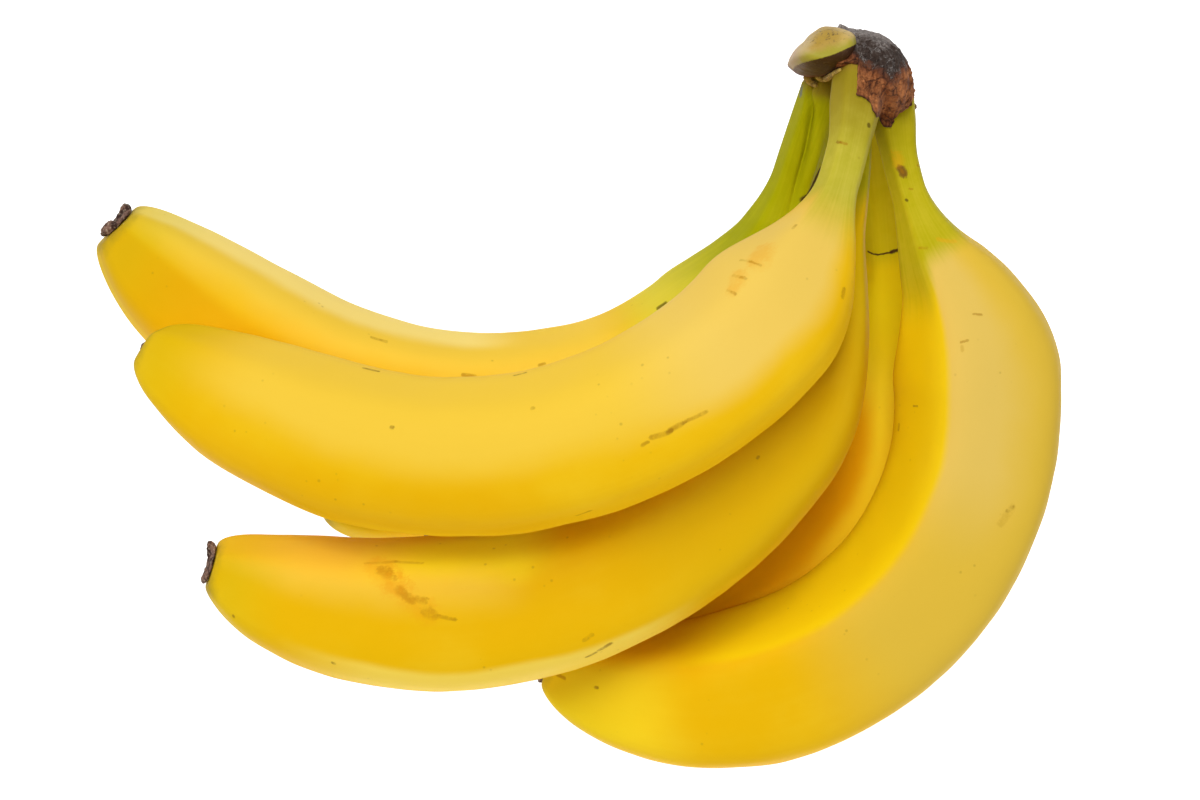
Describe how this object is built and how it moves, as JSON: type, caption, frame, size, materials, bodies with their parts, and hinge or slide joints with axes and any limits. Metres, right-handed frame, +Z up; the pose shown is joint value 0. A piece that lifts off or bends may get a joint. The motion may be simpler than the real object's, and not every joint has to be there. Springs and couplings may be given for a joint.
{
  "type": "bunch of bananas",
  "caption": "Hand of ripe yellow bananas joined at one crown, curved fingers with green necks and dark blossom ends, lying on its side.",
  "frame": {"origin": "on the surface the bunch lies on, under the middle of its bounding box", "axes": "+Z up from that surface, +X from the tips towards the crown's side, +Y from the front of the bunch to the back"},
  "size_m": [0.2344, 0.1536, 0.1388],
  "materials": {
    "peel": "smooth waxy ripe peel, green at the neck, with a few brown flecks",
    "crown": "dry, dark brown cut cushion with a mouldy top",
    "flower_end": "dried blackish brown blossom scar"
  },
  "bodies": {
    "root": {"crown": "crown", "banana_1": "peel", "banana_2": "peel", "banana_3": "peel", "banana_4": "peel", "banana_5": "peel", "banana_6": "peel", "flower_end_1": "flower_end", "flower_end_2": "flower_end", "flower_end_3": "flower_end", "flower_end_4": "flower_end", "flower_end_5": "flower_end", "flower_end_6": "flower_end"}
  },
  "joints": []
}
